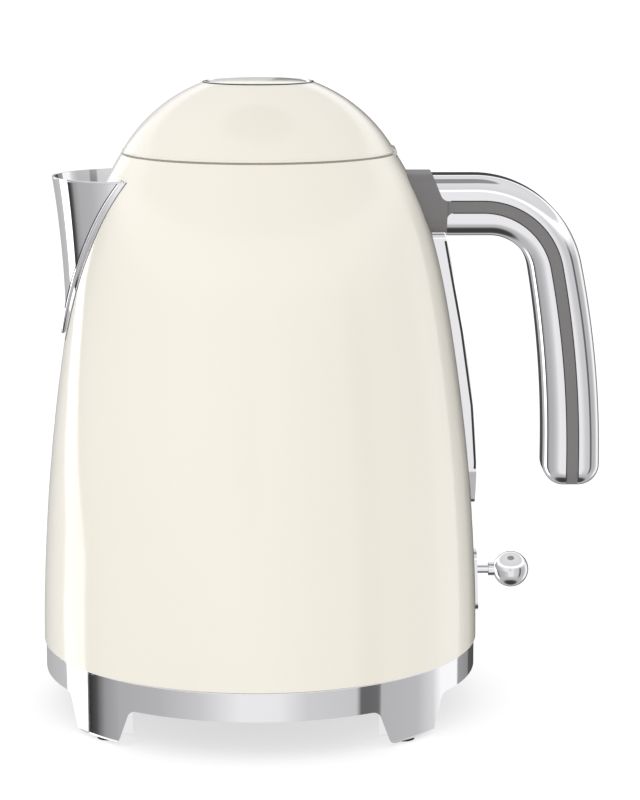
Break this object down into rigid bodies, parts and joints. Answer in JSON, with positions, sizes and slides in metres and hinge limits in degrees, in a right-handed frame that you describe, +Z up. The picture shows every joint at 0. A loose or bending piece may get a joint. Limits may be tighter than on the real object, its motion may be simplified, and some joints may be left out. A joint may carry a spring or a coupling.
{
  "type": "electric kettle",
  "caption": "Retro jug kettle with dome lid and push button, V spout, bow handle, water window and lever switch on a round swivel power base.",
  "frame": {"origin": "on the surface that the feet stand on, under the middle of the whole object's outline; the jug's own axis stands 24 mm towards -X", "axes": "+Z up, +X from the jug towards the handle, -X towards the spout, -Y the broad side with the spout on its left"},
  "size_m": [0.2208, 0.1728, 0.248],
  "materials": {
    "cream_paint": "gloss",
    "chrome": "polished",
    "steel": "satin",
    "steel_wire": "satin",
    "grey_plastic": "satin",
    "black_plastic": "satin",
    "white_plastic": "satin",
    "rubber": "matte",
    "silicone": "matte",
    "clear_plastic": "clear",
    "brass": "polished",
    "aluminium": "satin"
  },
  "bodies": {
    "power_base": {"base_ring": "chrome", "foot_pads": "rubber", "base_deck": "black_plastic", "base_hub": "black_plastic", "base_contacts": "brass", "base_cover": "black_plastic", "cord_gland": "rubber", "base_screws": "steel_wire"},
    "connector": {"kettle_socket": "black_plastic", "socket_pins": "brass"},
    "kettle": {"body_shell": "cream_paint", "heater_plate": "steel", "plate_seal": "silicone", "heat_spreader": "aluminium", "heating_element": "steel", "control_unit": "white_plastic", "steam_switch": "white_plastic", "steam_tube": "steel", "bottom_cover": "black_plastic", "bottom_screws": "steel_wire", "spout": "chrome", "filter_rails": "steel", "handle_outer_shell": "chrome", "handle_inner_shell": "chrome", "handle_core": "grey_plastic", "handle_bracket": "steel", "handle_screws": "steel_wire", "window_frame": "chrome", "window_lens": "clear_plastic", "window_gasket": "silicone", "lever_plate": "chrome", "lever_bracket": "white_plastic", "lever_pin": "steel_wire", "hinge_fixed": "steel", "hinge_pin": "steel_wire"},
    "filter": {"filter_frame": "white_plastic", "filter_mesh": "steel_wire"},
    "lever": {"lever_stem": "chrome", "lever_ball": "chrome"},
    "lid": {"lid_dome": "cream_paint", "lid_liner": "steel", "lid_seal": "silicone", "button_cup": "white_plastic", "button_ring": "chrome", "hinge_moving": "steel", "button_spring": "steel_wire"},
    "button": {"lid_button": "cream_paint"},
    "latch": {"lid_latch": "white_plastic"}
  },
  "joints": [
    {"name": "lift_off", "type": "slide", "parent": "power_base", "child": "connector", "axis": [0, 0, 1], "range_m": [0, 0.08]},
    {"name": "base_swivel", "type": "hinge", "parent": "connector", "child": "kettle", "pos_m": [-0.024, 0, 0.03], "axis": [0, 0, 1], "continuous": true},
    {"name": "lid_hinge", "type": "hinge", "parent": "kettle", "child": "lid", "pos_m": [0.0282, 0, 0.2199], "axis": [0, 1, 0], "range_deg": [0, 72]},
    {"name": "button_press", "type": "slide", "parent": "lid", "child": "button", "axis": [0, 0, -1], "range_m": [0, 0.003], "stiffness_N_per_m": 400, "springref_m": -0.003, "deforming": ["button_spring"]},
    {"name": "latch_slide", "type": "slide", "parent": "lid", "child": "latch", "axis": [1, 0, 0], "range_m": [0, 0.003]},
    {"name": "lever_press", "type": "hinge", "parent": "kettle", "child": "lever", "pos_m": [0.046, 0, 0.052], "axis": [0, 1, 0], "range_deg": [0, 20]},
    {"name": "filter_unclip", "type": "slide", "parent": "kettle", "child": "filter", "axis": [1, 0, 0], "range_m": [0, 0.02]}
  ],
  "couplings": [
    {"joint": "latch_slide", "follows": "button_press", "ratio": 1}
  ]
}
